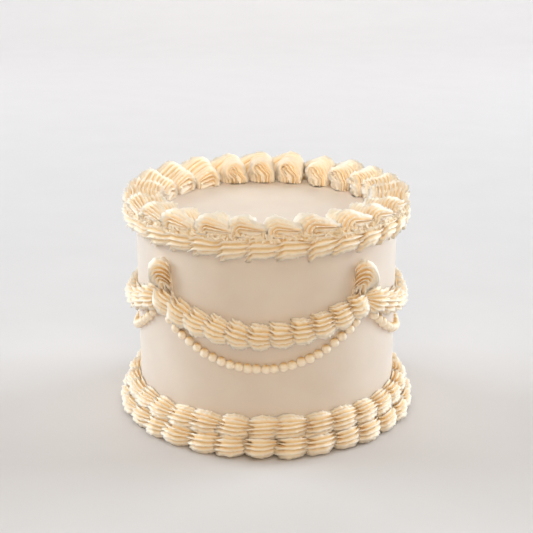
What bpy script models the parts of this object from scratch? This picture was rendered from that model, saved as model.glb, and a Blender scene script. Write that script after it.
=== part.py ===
"""A round layer cake in smooth buttercream, piped with shell borders, scrolls, garlands and beads.

Units are metres and +Z is up. The origin is the centre of the cake's underside and the front
faces -Y. An azimuth is an angle round the cake in degrees, from the front and growing towards +X.
"""

import math
import random

import bmesh
import bpy
from mathutils import Vector

MM = 0.001

# The cake under its piping.
CAKE_RADIUS = 80 * MM
CAKE_HEIGHT = 125 * MM
TOP_EDGE_ROUND = 1.5 * MM
CAKE_SIDES = 64

# Piping keeps this gap to the cake, and one piped row keeps it to the next.
GAP = 0.3 * MM

# Points nearer than this are one after pieces are fused, which leaves no slivers.
SCRAP = 0.03 * MM

# Every shell starts with a full head and thins to a tail, which the next head covers.
# Each pair is a share of the shell's length and the share of its full size there.
SHELL_SWELL = ((0.0, 0.60), (0.14, 1.0), (0.62, 0.88))
FLUTE_DEPTH = 1.2 * MM
SECTION_SQUARENESS = 0.75
UNEVEN = 0.06
BORDER_DRIFT = 0.6

# Borders: how many shells go round, where the first starts, and each row's section.
BORDER_SHELLS = 31
BORDER_START = -6.5
BASE_ROW = {"middle": 6.3 * MM, "half_width": 7.0 * MM, "depth": 13.3 * MM, "points": 11}
BASE_UPPER_ROW = {"middle": 15.5 * MM, "half_width": 6.6 * MM, "depth": 8.4 * MM, "points": 7}
BASE_ROWS_MEET = 11.2 * MM
TOP_ROW = {"middle": 126.6 * MM, "half_width": 6.2 * MM, "depth": 6.4 * MM, "points": 7}

# The scrolls stand on the top edge and lean out over the row below them.
# They were piped by eye, so they don't stand evenly apart.
SCROLL_AZIMUTHS = (
    -10.5, 3.9, 17.8, 34.3, 48.6, 63.5, 78.0, 92.0, 106.0, 120.5, 135.7, 151.0,
    167.6, 182.7, 197.6, 214.2, 230.8, 247.2, 262.5, 276.5, 290.7, 304.8, 320.0, 336.5,
)
SCROLL_RADIUS = 76 * MM
SCROLL_DEPTH = 10.4 * MM
SCROLL_RISE = 16.4 * MM
SCROLL_UP = 10.0 * MM
SCROLL_SIDE = 12.4 * MM
SCROLL_TAIL = 2.0 * MM
SCROLL_TAIL_ANGLE = -35.0
SCROLL_TAIL_SPREAD = 60.0
SCROLL_EYE = (-3.0 * MM, -5.5 * MM)
SCROLL_TURNS = (-35, 5, 40, 75, 110, 145, 185, 220)
SCROLL_TILTS = (22.5, 45.0, 67.5, 90.0, 112.5, 135.0, 157.5)
# Neighbours rest at slightly different heights, so that their undersides share no plane.
UNDERSIDE_STEP = 0.15 * MM
REST_SLOPE = 0.9
REST_SLOPE_FROM = 79 * MM

# Four knots, from the front left one and on round the cake to the right.
KNOTS = (-50.0, 45.5, 133.7, 221.9)
KNOT_CLEARANCE = 0.5
# Where two garlands meet head to head, one of them stops this many degrees short.
HEADS_APART = 2.5

# Garlands hang between the knots, with a string of beads below each.
GARLAND_SHELL_LENGTH = 13.1 * MM
GARLAND_HALF_WIDTH = 7.2 * MM
GARLAND_DEPTH = 7.9 * MM
GARLAND_END_HEIGHT = 87.0 * MM
GARLAND_LOW_HEIGHT = 72.2 * MM
GARLAND_CURVE = 1.75
GARLAND_POINTS = 9
SLOPE_STEP = 0.01
BEAD_SPACING = 5.6 * MM
BEAD_RADIUS = 2.75 * MM
BEAD_NECK = 1.5 * MM
BEAD_SIDES = 4
BEAD_SHOULDERS = (0.28, 0.72)
# A bead string is this much longer than the stretch of wall that it crosses.
BEAD_STRETCH = 1.12
BEAD_INSET = 4.0
BEAD_END_HEIGHT = 76.5 * MM
BEAD_LOW_HEIGHT = 52.4 * MM
BEAD_CURVE = 2.0
LOWEST_AT = 0.49

# A drop covers each knot: a fan that opens from a tail at the knot, up and over to one side.
# Its outline is how far it reaches from its middle at each of these angles.
DROP_MIDDLE = (1.0 * MM, 100.0 * MM)
DROP_TURNS = tuple(range(0, 360, 30))
DROP_OUTLINE = tuple(
    reach * MM for reach in (10.0, 11.5, 12.3, 11.3, 9.8, 10.0, 11.5, 8.8, 7.2, 7.8, 8.2, 11.2)
)
DROP_DEPTH = 7.8 * MM
DROP_EYE = (3.0 * MM, -3.5 * MM)
# The tilt past 90 degrees lies on the wall and keeps the drop's back clear of it.
DROP_TILTS = (18.0, 36.0, 54.0, 72.0, 90.0, 150.0)

# Colours are linear red, green and blue.
ICING_COLOUR = (0.86, 0.76, 0.63)
PIPING_COLOUR = (0.88, 0.73, 0.52)
BUTTERCREAM_ROUGHNESS = 0.5

# Edges sharper than this many degrees stay sharp.
CREASE = 50


def clear_scene():
    for found in list(bpy.data.objects):
        bpy.data.objects.remove(found, do_unlink=True)


def buttercream(name, colour):
    material = bpy.data.materials.new(name)
    material.use_nodes = True
    shader = material.node_tree.nodes["Principled BSDF"]
    shader.inputs["Base Color"].default_value = (*colour, 1.0)
    shader.inputs["Roughness"].default_value = BUTTERCREAM_ROUGHNESS
    shader.inputs["Metallic"].default_value = 0.0
    return material


def at(azimuth, radius, height):
    """The point at this azimuth in degrees, distance from the cake's axis and height."""
    turn = math.radians(azimuth)
    return Vector((radius * math.sin(turn), -radius * math.cos(turn), height))


def degrees_for(length, radius=CAKE_RADIUS):
    """How many degrees a length along the wall takes."""
    return math.degrees(length / radius)


def add_object(name, form, material):
    """Closes a bmesh into a named object, shaded smooth but for its sharp creases."""
    bmesh.ops.recalc_face_normals(form, faces=form.faces)
    mesh = bpy.data.meshes.new(name)
    form.to_mesh(mesh)
    form.free()
    mesh.materials.append(material)
    mesh.shade_smooth()
    mesh.set_sharp_from_angle(angle=math.radians(CREASE))
    made = bpy.data.objects.new(name, mesh)
    bpy.context.scene.collection.objects.link(made)
    return made


def join_rings(form, rings, closed):
    """Bridges each ring of vertices to the next; an open run is capped at both ends."""
    last = len(rings) if closed else len(rings) - 1
    for index in range(last):
        here = rings[index]
        there = rings[(index + 1) % len(rings)]
        for side in range(len(here)):
            after = (side + 1) % len(here)
            form.faces.new((here[side], here[after], there[after], there[side]))
    if not closed:
        form.faces.new(rings[0])
        form.faces.new(rings[-1])


def cake_body(material):
    """The iced cake: a turned profile with a flat base and top and a soft upper edge."""
    edge = CAKE_RADIUS - TOP_EDGE_ROUND
    shoulder = CAKE_HEIGHT - TOP_EDGE_ROUND
    profile = [(CAKE_RADIUS, 0.0)]
    for turn in (0.0, math.pi / 4, math.pi / 2):
        profile.append((edge + TOP_EDGE_ROUND * math.cos(turn), shoulder + TOP_EDGE_ROUND * math.sin(turn)))
    form = bmesh.new()
    rings = []
    for radius, height in profile:
        around = [at(360 * side / CAKE_SIDES, radius, height) for side in range(CAKE_SIDES)]
        rings.append([form.verts.new(point) for point in around])
    join_rings(form, rings, closed=False)
    return add_object("cake_body", form, material)


def fluted_section(points, half_width, depth):
    """Half of a soft oval as (out, across) pairs, its outer side cut into ridges and grooves."""
    section = []
    step = math.pi / (points - 1)
    groove = 1 - math.cos(step) + FLUTE_DEPTH / (half_width + depth)
    for index in range(points):
        turn = step * index - math.pi / 2
        out = max(0.0, math.cos(turn)) ** SECTION_SQUARENESS
        across = math.copysign(abs(math.sin(turn)) ** SECTION_SQUARENESS, turn)
        keep = 1 - groove if index % 2 else 1.0
        section.append((out * depth * keep, across * half_width * keep))
    return section


def rest_line(radius):
    """The height at which a scroll rests: on the cake's top, then on the row outside its edge."""
    return CAKE_HEIGHT + REST_SLOPE * max(0.0, radius - REST_SLOPE_FROM)


def under_scrolls(radius):
    return rest_line(radius) - GAP


def level(height):
    """A floor or a ceiling at the same height everywhere."""
    return lambda radius: height


def border_row(name, row, material, seed, floor, ceiling):
    """A closed ring of shells round the cake, kept between a floor and a ceiling.

    Both are functions that give a height at a distance from the cake's axis.
    """
    draw = random.Random(seed)
    form = bmesh.new()
    rings = []
    for shell in range(BORDER_SHELLS):
        start = BORDER_START + 360 * shell / BORDER_SHELLS + draw.uniform(-BORDER_DRIFT, BORDER_DRIFT)
        full = 1 - UNEVEN * draw.random()
        for share, swell in SHELL_SWELL:
            azimuth = start + share * 360 / BORDER_SHELLS
            size = swell * full
            ring = []
            for out, across in fluted_section(row["points"], row["half_width"] * size, row["depth"] * size):
                radius = CAKE_RADIUS + GAP + out
                height = max(floor(radius), min(ceiling(radius), row["middle"] + across))
                ring.append(form.verts.new(at(azimuth, radius, height)))
            rings.append(ring)
    join_rings(form, rings, closed=True)
    return add_object(name, form, material)


def drape(share, end, low, curve):
    """The height of a hanging line at a share of its way from one knot to the next."""
    side = LOWEST_AT if share < LOWEST_AT else 1 - LOWEST_AT
    return low + (end - low) * (abs(share - LOWEST_AT) / side) ** curve


def garland_height(share):
    return drape(share, GARLAND_END_HEIGHT, GARLAND_LOW_HEIGHT, GARLAND_CURVE)


def bead_height(share):
    return drape(share, BEAD_END_HEIGHT, BEAD_LOW_HEIGHT, BEAD_CURVE)


def garland(name, first, last, material, seed, backwards):
    """Shells along a drape on the wall, from one knot to the next, square to the drape."""
    draw = random.Random(seed)
    last -= HEADS_APART if backwards else 0
    span = last - first - 2 * KNOT_CLEARANCE
    arc = math.radians(span) * (CAKE_RADIUS + GARLAND_DEPTH / 2)
    shells = round(arc / GARLAND_SHELL_LENGTH)
    stations = []
    for shell in range(shells):
        full = 1 - UNEVEN * draw.random()
        stations += [((shell + share) / shells, swell * full) for share, swell in SHELL_SWELL]
    stations.append((1.0, SHELL_SWELL[0][1]))
    if backwards:
        stations = [(1 - share, size) for share, size in stations]
    form = bmesh.new()
    rings = []
    for share, size in stations:
        before, after = max(share - SLOPE_STEP, 0.0), min(share + SLOPE_STEP, 1.0)
        slope = math.atan2(garland_height(after) - garland_height(before), (after - before) * arc)
        tilt = slope if 0 < share < 1 else 0.0
        ring = []
        for out, across in fluted_section(GARLAND_POINTS, GARLAND_HALF_WIDTH * size, GARLAND_DEPTH * size):
            azimuth = first + KNOT_CLEARANCE + share * span - degrees_for(across * math.sin(tilt))
            height = garland_height(share) + across * math.cos(tilt)
            ring.append(form.verts.new(at(azimuth, CAKE_RADIUS + GAP + out, height)))
        rings.append(ring)
    join_rings(form, rings, closed=False)
    return add_object(name, form, material)


def bead_string(name, first, last, material):
    """Beads pressed one against the next along a deeper drape."""
    span = last - first - 2 * BEAD_INSET
    beads = round(math.radians(span) * CAKE_RADIUS * BEAD_STRETCH / BEAD_SPACING)
    stations = [(0.0, BEAD_NECK)]
    for bead in range(beads):
        stations += [((bead + share) / beads, BEAD_RADIUS) for share in BEAD_SHOULDERS]
        stations.append(((bead + 1) / beads, BEAD_NECK))
    form = bmesh.new()
    rings = []
    for share, size in stations:
        ring = []
        for side in range(BEAD_SIDES):
            turn = 2 * math.pi * (side + 0.5) / BEAD_SIDES
            radius = CAKE_RADIUS + GAP + BEAD_RADIUS + size * math.cos(turn)
            height = bead_height(share) + size * math.sin(turn)
            ring.append(form.verts.new(at(first + BEAD_INSET + share * span, radius, height)))
        rings.append(ring)
    join_rings(form, rings, closed=False)
    return add_object(name, form, material)


def curl(form, turns, tilts, reach, eye, place):
    """Adds a form whose ridges are nested arcs, like the folds of a turned-over ribbon.

    Every second ring is a groove. reach(turn) is the outline's size at an angle in degrees, and
    place turns (along, out, up) into a point, with out from 1 in front to -1 at the back. The
    arcs close in on the eye, an (along, up) place in front of the middle and behind it.
    """
    groove = 1 - math.cos(math.radians(tilts[1] - tilts[0])) + FLUTE_DEPTH / SCROLL_UP
    rings = []
    for number, tilt in enumerate(tilts):
        keep = 1 - groove if number % 2 else 1.0
        swell = math.sin(math.radians(tilt)) ** SECTION_SQUARENESS
        out = math.cos(math.radians(tilt)) * keep
        ring = []
        for turn in turns:
            length = reach(turn) * swell * keep
            along = length * math.cos(math.radians(turn)) + eye[0] * (1 - swell)
            up = length * math.sin(math.radians(turn)) + eye[1] * (1 - swell)
            ring.append(form.verts.new(place(along, out, up)))
        rings.append(ring)
    for here, there in zip(rings, rings[1:]):
        for side in range(len(turns)):
            after = (side + 1) % len(turns)
            form.faces.new((here[side], here[after], there[after], there[side]))
    for ring, out in ((rings[0], 1.0), (rings[-1], -1.0)):
        tip = form.verts.new(place(eye[0], out, eye[1]))
        for side in range(len(turns)):
            form.faces.new((ring[side], ring[(side + 1) % len(turns)], tip))


def angle_between(first, second):
    return abs((first - second + 180) % 360 - 180)


def oval(turn, side, rise):
    """How far an oval of these half sizes reaches at an angle in degrees."""
    return 1 / math.hypot(math.cos(math.radians(turn)) / side, math.sin(math.radians(turn)) / rise)


def scroll(index, material, draw):
    """One scroll on the top edge: up from the left, over, and down to a tail on the right."""
    azimuth = SCROLL_AZIMUTHS[index]
    size = 1 - UNEVEN * draw.random()
    centre = SCROLL_RISE - SCROLL_UP
    lift = GAP + UNDERSIDE_STEP * (index % 2)

    def reach(turn):
        tail = max(0.0, 1 - angle_between(turn, SCROLL_TAIL_ANGLE) / SCROLL_TAIL_SPREAD)
        return oval(turn, SCROLL_SIDE, SCROLL_UP * size) + SCROLL_TAIL * tail

    def place(along, out, up):
        radius = SCROLL_RADIUS + out * SCROLL_DEPTH * size
        height = CAKE_HEIGHT + centre + up
        return at(azimuth + degrees_for(along, SCROLL_RADIUS), radius, max(height, rest_line(radius) + lift))

    form = bmesh.new()
    curl(form, SCROLL_TURNS, SCROLL_TILTS, reach, SCROLL_EYE, place)
    return add_object(f"scroll_{index + 1}", form, material)


def drop_hollows(mesh):
    """Keeps only the outer skin, so a hollow sealed between two fused pieces is filled."""
    form = bmesh.new()
    form.from_mesh(mesh)
    left = set(form.verts)
    skins = []
    while left:
        edge_of_skin = [left.pop()]
        skin = set(edge_of_skin)
        while edge_of_skin:
            vertex = edge_of_skin.pop()
            near = {edge.other_vert(vertex) for edge in vertex.link_edges} & left
            left -= near
            skin |= near
            edge_of_skin += near
        skins.append(skin)
    outer = max(skins, key=len)
    bmesh.ops.delete(form, geom=[vertex for vertex in form.verts if vertex not in outer], context="VERTS")
    bmesh.ops.triangulate(form, faces=form.faces)
    bmesh.ops.remove_doubles(form, verts=form.verts, dist=SCRAP)
    bmesh.ops.dissolve_degenerate(form, dist=SCRAP, edges=form.edges)
    form.to_mesh(mesh)
    form.free()


def fuse(name, pieces, material):
    """Joins the pieces into one solid and removes them."""
    group = bpy.data.collections.new(name + "_pieces")
    bpy.context.scene.collection.children.link(group)
    base = pieces[0]
    for piece in pieces[1:]:
        bpy.context.scene.collection.objects.unlink(piece)
        group.objects.link(piece)
    union = base.modifiers.new("join", "BOOLEAN")
    union.operation = "UNION"
    union.operand_type = "COLLECTION"
    union.collection = group
    union.solver = "MANIFOLD"
    graph = bpy.context.evaluated_depsgraph_get()
    mesh = bpy.data.meshes.new_from_object(base.evaluated_get(graph))
    for piece in list(group.objects) + [base]:
        bpy.data.objects.remove(piece, do_unlink=True)
    bpy.data.collections.remove(group)
    drop_hollows(mesh)
    mesh.name = name
    mesh.materials.clear()
    mesh.materials.append(material)
    mesh.shade_smooth()
    mesh.set_sharp_from_angle(angle=math.radians(CREASE))
    made = bpy.data.objects.new(name, mesh)
    bpy.context.scene.collection.objects.link(made)
    return made


def scroll_border(material, seed):
    draw = random.Random(seed)
    scrolls = [scroll(index, material, draw) for index in range(len(SCROLL_AZIMUTHS))]
    return fuse("top_scroll_border", scrolls, material)


def drop(name, azimuth, mirrored, material):
    """A single fan on the wall, with its tail pointing down at the knot."""
    hand = -1 if mirrored else 1
    outline = dict(zip(DROP_TURNS, DROP_OUTLINE))

    def place(along, out, up):
        radius = CAKE_RADIUS + GAP + max(0.0, out) * DROP_DEPTH
        return at(azimuth + degrees_for(hand * (DROP_MIDDLE[0] + along)), radius, DROP_MIDDLE[1] + up)

    form = bmesh.new()
    curl(form, DROP_TURNS, DROP_TILTS, outline.get, DROP_EYE, place)
    return add_object(name, form, material)


def build():
    clear_scene()
    icing = buttercream("smooth_buttercream", ICING_COLOUR)
    piping = buttercream("piped_buttercream", PIPING_COLOUR)
    cake_body(icing)
    ground, seam = level(0.0), level(BASE_ROWS_MEET)
    above_seam, cake_top = level(BASE_ROWS_MEET + GAP), level(CAKE_HEIGHT)
    border_row("bottom_lower_border", BASE_ROW, piping, 1, floor=ground, ceiling=seam)
    border_row("bottom_upper_border", BASE_UPPER_ROW, piping, 2, floor=above_seam, ceiling=cake_top)
    border_row("top_shell_border", TOP_ROW, piping, 3, floor=ground, ceiling=under_scrolls)
    scroll_border(piping, seed=4)
    for index, knot in enumerate(KNOTS):
        following = KNOTS[(index + 1) % len(KNOTS)] + (360 if index == len(KNOTS) - 1 else 0)
        # The second garland was piped the other way round.
        garland(f"garland_{index + 1}", knot, following, piping, seed=10 + index, backwards=index == 1)
        bead_string(f"bead_string_{index + 1}", knot, following, piping)
        drop(f"drop_{index + 1}", knot, index % 2 == 1, piping)


build()
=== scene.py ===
# %% [markdown]
# # A piped buttercream cake
# A round layer cake in smooth ivory buttercream. All its ornaments but the beads are piped with a
# fine star tip, so the lesson is mostly about ridges: how a ridged rope swells, bends and thins.
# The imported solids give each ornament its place, and each cell below lays the fine surface there.

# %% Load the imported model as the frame
import math
import random

import bpy
import numpy as np
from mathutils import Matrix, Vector


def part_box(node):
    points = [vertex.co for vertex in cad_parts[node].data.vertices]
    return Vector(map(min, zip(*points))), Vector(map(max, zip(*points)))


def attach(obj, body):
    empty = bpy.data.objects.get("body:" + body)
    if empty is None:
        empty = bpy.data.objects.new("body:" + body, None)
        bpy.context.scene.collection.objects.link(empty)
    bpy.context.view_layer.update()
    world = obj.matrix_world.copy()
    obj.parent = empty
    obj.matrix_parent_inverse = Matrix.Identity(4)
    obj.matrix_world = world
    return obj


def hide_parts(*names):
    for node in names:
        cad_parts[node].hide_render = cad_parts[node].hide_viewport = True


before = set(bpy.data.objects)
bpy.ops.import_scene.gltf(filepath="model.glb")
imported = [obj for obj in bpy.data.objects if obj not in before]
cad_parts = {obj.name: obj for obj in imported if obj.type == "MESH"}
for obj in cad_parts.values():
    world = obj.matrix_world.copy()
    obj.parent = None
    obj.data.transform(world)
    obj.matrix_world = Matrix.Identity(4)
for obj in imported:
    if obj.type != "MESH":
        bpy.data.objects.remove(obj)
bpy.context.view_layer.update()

MM = 0.001
print("nodes:", len(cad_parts))

# %% [markdown]
# ## Where things are
# The cake is round, so the handiest coordinates are an azimuth in degrees (0 in front, growing
# towards +X), a distance from the axis and a height. One function turns them into x, y and z for
# whole arrays at once, which is far quicker than a loop over vertices. What is piped on the wall
# starts at the gap that the solids keep from it, less a little, so that its rim sinks in.

# %% Coordinates round the cake, in millimetres
WALL = 80.0
CAKE_TOP = 125.0
GAP = 0.3
SHELL_SUNK = 0.8
DROP_SUNK = 0.6


def place(azimuth, radius, height):
    turn = np.radians(azimuth)
    return np.stack([radius * np.sin(turn), -radius * np.cos(turn), height + 0 * turn], axis=-1) * MM


def degrees_for(length, radius=WALL):
    return np.degrees(length / radius)


low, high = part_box("cake_body")
print("cake body width", round((high.x - low.x) / MM, 1), "mm, height", round((high.z - low.z) / MM, 1), "mm")

# %% [markdown]
# ## Turning rings of points into a mesh
# Each form here is a stack of closed rings: a shell, a bead, even the cake. A stack needs only a
# grid of quads between its rings and a fan at each end. Filling Blender's arrays directly keeps
# this fast for hundreds of thousands of points. Each point also carries two numbers for the
# material: how high it lies on its ridge, with painted light and shade worked into it, and the
# tone of the shell that it belongs to.

# %% Build one object from many stacks of rings
def stack_faces(rings, around):
    ring, side = np.meshgrid(np.arange(rings - 1), np.arange(around), indexing="ij")
    after = (side + 1) % around
    here, there = ring * around, (ring + 1) * around
    quads = np.stack([here + side, here + after, there + after, there + side], axis=-1).reshape(-1, 4)
    edge = np.arange(around)
    following = (edge + 1) % around
    start, end = rings * around, rings * around + 1
    last = (rings - 1) * around
    fan = np.stack([np.full(around, start), following, edge], axis=-1)
    other_fan = np.stack([np.full(around, end), last + edge, last + following], axis=-1)
    return quads, np.concatenate([fan, other_fan])


def is_inside_out(points, quads):
    a, b, c, d = (points[quads[:, i]] for i in range(4))
    middle = points.mean(axis=0)
    return np.einsum("ij,ij->i", (a + b + c + d) / 4 - middle, np.cross(c - a, d - b)).sum() < 0


def has_flat_back(grid):
    """True where one wide face, of over four common steps, joins the last column to the first."""
    gap = np.linalg.norm(grid[:, 0] - grid[:, -1], axis=1).mean()
    return gap > 4 * np.linalg.norm(grid[:, 1] - grid[:, 0], axis=1).mean()


def build(name, stacks, material):
    """Each of the stacks is an array of rings x around x 3 points, the ridge level at each with its painted
    light and shade, and one tone.
    """
    points, corners, sizes, ridges, tones, smooth = [], [], [], [], [], []
    count = 0
    for grid, ridge, tone in stacks:
        rings, around = ridge.shape
        flat = np.concatenate([grid.reshape(-1, 3), [grid[0].mean(axis=0)], [grid[-1].mean(axis=0)]])
        quads, fans = stack_faces(rings, around)
        if is_inside_out(flat, quads):
            quads, fans = quads[:, ::-1], fans[:, ::-1]
        points.append(flat)
        ridges.append(np.concatenate([ridge.ravel(), [ridge[0].mean(), ridge[-1].mean()]]))
        tones.append(np.full(len(flat), tone))
        corners += [(quads + count).ravel(), (fans + count).ravel()]
        sizes += [np.full(len(quads), 4), np.full(len(fans), 3)]
        # A back and its ends are left flat, so they don't darken the rim of the smooth front.
        is_round = not has_flat_back(grid)
        smooth += [is_round | (np.arange(len(quads)) % around != around - 1), np.full(len(fans), is_round)]
        count += len(flat)
    points, corners, sizes = np.concatenate(points), np.concatenate(corners), np.concatenate(sizes)
    mesh = bpy.data.meshes.new(name)
    mesh.vertices.add(len(points))
    mesh.vertices.foreach_set("co", points.astype(np.float32).ravel())
    mesh.loops.add(len(corners))
    mesh.loops.foreach_set("vertex_index", corners.astype(np.int32))
    mesh.polygons.add(len(sizes))
    mesh.polygons.foreach_set("loop_start", (np.cumsum(sizes) - sizes).astype(np.int32))
    mesh.update(calc_edges=True)
    for label, values in (("ridge", ridges), ("tone", tones)):
        layer = mesh.attributes.new(label, "FLOAT", "POINT")
        layer.data.foreach_set("value", np.concatenate(values).astype(np.float32))
    mesh.polygons.foreach_set("use_smooth", np.concatenate(smooth))
    mesh.materials.append(material)
    made = bpy.data.objects.new(name, mesh)
    bpy.context.scene.collection.objects.link(made)
    print(f"{name}: {len(stacks)} forms, {int((sizes - 2).sum())} triangles")
    return made


# %% [markdown]
# ## Colour values
# Colours are picked as sRGB hex, the way a screen shows them. Shaders calculate in linear
# light, so one function converts them. Another turns the real size of a pattern into a texture's
# scale, and a third adds a node with its settings and its links.

# %% Helpers for colours, patterns and nodes
def colour(hex_code):
    parts = [int(hex_code[i:i + 2], 16) / 255 for i in (1, 3, 5)]
    linear = [c / 12.92 if c <= 0.04045 else ((c + 0.055) / 1.055) ** 2.4 for c in parts]
    return (*linear, 1.0)


def repeats(size):
    """The scale of a texture whose features are this many millimetres wide."""
    return 1 / (size * MM)


def add_node(tree, kind, settings=None, values=None, links=None):
    node = tree.nodes.new(kind)
    for key, value in (settings or {}).items():
        setattr(node, key, value)
    for key, value in (values or {}).items():
        node.inputs[key].default_value = value
    for key, source in (links or {}).items():
        tree.links.new(source, node.inputs[key])
    return node


print("a pale butter yellow in linear light:", [round(part, 3) for part in colour("#F8E2C2")])

# %% [markdown]
# ## Smooth buttercream
# American buttercream is butter beaten with sugar: an opaque fat full of fine air, with a little
# light passing just under its skin. Pulled flat with a metal scraper it dries to a satin skin with
# faint level bands and a few pin-sized bubbles. Butter has an IOR near 1.46. Its roughness is
# about 0.5, a little lower where the scraper pressed.

# %% Material of the smooth wall and top
BUTTER_IOR = 1.46


def scraped_buttercream():
    material = bpy.data.materials.new("Buttercream, scraped smooth")
    material.use_nodes = True
    tree = material.node_tree
    shader = tree.nodes["Principled BSDF"]
    shader.inputs["IOR"].default_value = BUTTER_IOR
    shader.inputs["Subsurface Weight"].default_value = 0.25
    shader.inputs["Subsurface Radius"].default_value = (1.0, 0.62, 0.36)
    shader.inputs["Subsurface Scale"].default_value = 2.5 * MM
    where = add_node(tree, "ShaderNodeTexCoord")
    # Soft patches about 30 mm wide, where the icing was worked more or less.
    patches = add_node(tree, "ShaderNodeTexNoise", values={"Scale": repeats(30.3), "Detail": 3.0},
                       links={"Vector": where.outputs["Object"]})
    tint = add_node(tree, "ShaderNodeValToRGB", links={"Fac": patches.outputs["Fac"]})
    tint.color_ramp.elements[0].color = colour("#DFCFC1")
    tint.color_ramp.elements[0].position = 0.3
    tint.color_ramp.elements[1].color = colour("#E5D7C9")
    tint.color_ramp.elements[1].position = 0.7
    tree.links.new(tint.outputs["Color"], shader.inputs["Base Color"])
    # Scraper bands lie level: the noise is 83 mm long but only 3.3 mm high.
    squeeze = add_node(tree, "ShaderNodeMapping", links={"Vector": where.outputs["Object"]},
                       values={"Scale": (repeats(83.33), repeats(83.33), repeats(3.333))})
    bands = add_node(tree, "ShaderNodeTexNoise", values={"Scale": 1.0, "Detail": 4.0},
                     links={"Vector": squeeze.outputs["Vector"]})
    # Grain of the beaten sugar, drawn at 0.7 mm because its true size would not show.
    grain = add_node(tree, "ShaderNodeTexNoise", values={"Scale": repeats(0.7143), "Detail": 2.0},
                     links={"Vector": where.outputs["Object"]})
    # Pin holes at most 1 mm wide and roughly 6 mm apart.
    bubbles = add_node(tree, "ShaderNodeTexVoronoi", values={"Scale": repeats(5.882)},
                       links={"Vector": where.outputs["Object"]})
    holes = add_node(tree, "ShaderNodeMapRange", values={"From Min": 0.03, "From Max": 0.09},
                     links={"Value": bubbles.outputs["Distance"]})
    band_bump = add_node(tree, "ShaderNodeBump", values={"Strength": 0.25, "Distance": 0.25 * MM},
                         links={"Height": bands.outputs["Fac"]})
    grain_bump = add_node(tree, "ShaderNodeBump", values={"Strength": 0.18, "Distance": 0.12 * MM},
                          links={"Height": grain.outputs["Fac"], "Normal": band_bump.outputs["Normal"]})
    hole_bump = add_node(tree, "ShaderNodeBump", values={"Strength": 0.25, "Distance": 0.2 * MM},
                         links={"Height": holes.outputs["Result"], "Normal": grain_bump.outputs["Normal"]})
    tree.links.new(hole_bump.outputs["Normal"], shader.inputs["Normal"])
    gloss = add_node(tree, "ShaderNodeMapRange", values={"To Min": 0.44, "To Max": 0.6},
                     links={"Value": bands.outputs["Fac"]})
    tree.links.new(gloss.outputs["Result"], shader.inputs["Roughness"])
    return material


SCRAPED = scraped_buttercream()
print("material:", SCRAPED.name)

# %% [markdown]
# ## Piped buttercream
# The same icing, pressed through a star tip. Its colour is painted light and shade: the thin
# crests that stand in the light are painted pale, and the grooves are painted golden, standing in
# for shade and for light that has passed through more butter. The number stored on each point
# says how high it lies on its ridge, with painted shade worked in, and the colour follows it: 1 is
# a crest, 0 a place so deep that hardly any light gets in, and most open grooves have 0.1.

# %% Material of everything piped
def piped_buttercream():
    material = bpy.data.materials.new("Buttercream, piped with a star tip")
    material.use_nodes = True
    tree = material.node_tree
    shader = tree.nodes["Principled BSDF"]
    shader.inputs["IOR"].default_value = BUTTER_IOR
    shader.inputs["Subsurface Weight"].default_value = 0.25
    shader.inputs["Subsurface Radius"].default_value = (1.0, 0.96, 0.85)
    shader.inputs["Subsurface Scale"].default_value = 0.7 * MM
    where = add_node(tree, "ShaderNodeTexCoord")
    ridge = add_node(tree, "ShaderNodeAttribute", {"attribute_name": "ridge"})
    tone = add_node(tree, "ShaderNodeAttribute", {"attribute_name": "tone"})
    # Patches 4 mm wide blur the border between the crests' painted light and the grooves' painted shade.
    patches = add_node(tree, "ShaderNodeTexNoise", values={"Scale": repeats(4.0), "Detail": 3.0},
                       links={"Vector": where.outputs["Object"]})
    wander = add_node(tree, "ShaderNodeMapRange", values={"To Min": -0.08, "To Max": 0.08},
                      links={"Value": patches.outputs["Fac"]})
    level = add_node(tree, "ShaderNodeMath", {"operation": "ADD"},
                     links={0: ridge.outputs["Fac"], 1: wander.outputs["Result"]})
    # Painted shade and highlight: golden in the grooves and pits, near white on the crests.
    tint = add_node(tree, "ShaderNodeValToRGB", links={"Fac": level.outputs["Value"]})
    stops = tint.color_ramp.elements
    stops[0].color = colour("#DEAF6E")
    stops[1].color = colour("#FFF1E0")
    for position, tone_there in ((0.1, "#EBCA96"), (0.28, "#F8E2C2"), (0.6, "#FDECD7")):
        stops.new(position).color = colour(tone_there)
    shade = add_node(tree, "ShaderNodeHueSaturation", values={"Saturation": 1.0},
                     links={"Color": tint.outputs["Color"], "Value": tone.outputs["Fac"]})
    tree.links.new(shade.outputs["Color"], shader.inputs["Base Color"])
    # Sugar grain, drawn at 0.5 mm so that it shows, and small tears about 1.5 mm across.
    grain = add_node(tree, "ShaderNodeTexNoise", values={"Scale": repeats(0.5263), "Detail": 3.0},
                     links={"Vector": where.outputs["Object"]})
    tears = add_node(tree, "ShaderNodeTexNoise", links={"Vector": where.outputs["Object"]},
                     values={"Scale": repeats(1.5385), "Detail": 4.0, "Roughness": 0.7})
    grain_bump = add_node(tree, "ShaderNodeBump", values={"Strength": 0.3, "Distance": 0.15 * MM},
                          links={"Height": grain.outputs["Fac"]})
    tear_bump = add_node(tree, "ShaderNodeBump", values={"Strength": 0.3, "Distance": 0.3 * MM},
                         links={"Height": tears.outputs["Fac"], "Normal": grain_bump.outputs["Normal"]})
    tree.links.new(tear_bump.outputs["Normal"], shader.inputs["Normal"])
    gloss = add_node(tree, "ShaderNodeMapRange", values={"To Min": 0.4, "To Max": 0.62},
                     links={"Value": tears.outputs["Fac"]})
    tree.links.new(gloss.outputs["Result"], shader.inputs["Roughness"])
    return material


PIPED = piped_buttercream()
print("material:", PIPED.name)

# %% [markdown]
# ## The iced cake
# A turned form: its profile runs from the middle of the underside, out and up the wall, over a
# small rounded edge and in across the top. No hand holds a scraper perfectly still, so a soft
# unevenness of a tenth of a millimetre is added, and light slides over it unevenly. Its swells
# are about 25 mm wide, with others of half their height and 11 mm wide.

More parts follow.
